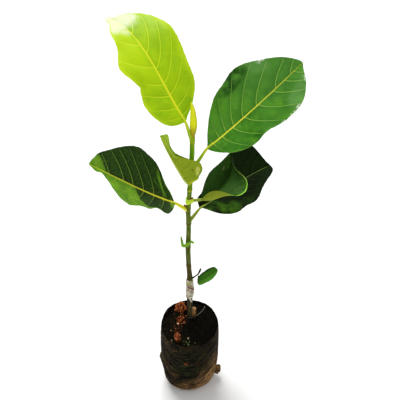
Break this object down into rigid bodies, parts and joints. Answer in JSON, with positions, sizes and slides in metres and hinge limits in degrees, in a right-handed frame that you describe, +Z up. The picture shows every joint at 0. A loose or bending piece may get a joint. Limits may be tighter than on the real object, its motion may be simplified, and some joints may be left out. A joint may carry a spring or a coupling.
{
  "type": "potted jackfruit tree",
  "caption": "Young grafted jackfruit tree with broad glossy leaves on a slender stem, rooted in a soil-filled black nursery grow bag.",
  "frame": {"origin": "middle of the bag's flat underside, on the surface it stands on", "axes": "+Z up along the stem, -Y towards the side the picture shows, +X to that side's right"},
  "size_m": [0.2817, 0.2249, 0.6286],
  "materials": {
    "bag_film": "dusty black polythene film",
    "soil": "dark moist potting soil",
    "bark": "young green to brown bark",
    "cut_wood": "weathered tan cut wood",
    "tape": "milky stretched film, rust stained",
    "bud": "waxy yellow bud sheath",
    "bract": "waxy fresh green",
    "leaf_lime": "young glossy yellow-green leaf",
    "leaf_green": "glossy mid-green leaf, yellow veins",
    "leaf_olive": "matt olive underside",
    "leaf_deep": "glossy deep green leaf",
    "brown_bud": "dry brown bud scales",
    "clay": "crumbly orange laterite clay",
    "pebble": "pale matt grit",
    "rootlet": "dry pale rootlet"
  },
  "bodies": {
    "root": {"grow_bag": "bag_film", "soil": "soil", "stem": "bark", "rootstock_stub": "cut_wood", "graft_tape": "tape", "terminal_bud": "bud", "low_side_twig": "bark", "clasping_bract": "bract", "bract_collar": "bract", "leaf_top_left": "leaf_lime", "leaf_top_right": "leaf_green", "leaf_folded_front": "leaf_olive", "leaf_lower_left": "leaf_green", "leaf_lower_right": "leaf_deep", "leaf_curled_right": "leaf_deep", "leaf_small_low": "leaf_green", "collar_bud": "brown_bud", "axil_bud": "brown_bud", "clay_clod_back": "clay", "clay_clod_front": "clay", "clay_clod_middle": "clay", "pebble_1": "pebble", "pebble_2": "pebble", "pebble_3": "pebble", "pebble_4": "pebble", "surface_rootlet": "rootlet"}
  },
  "joints": []
}
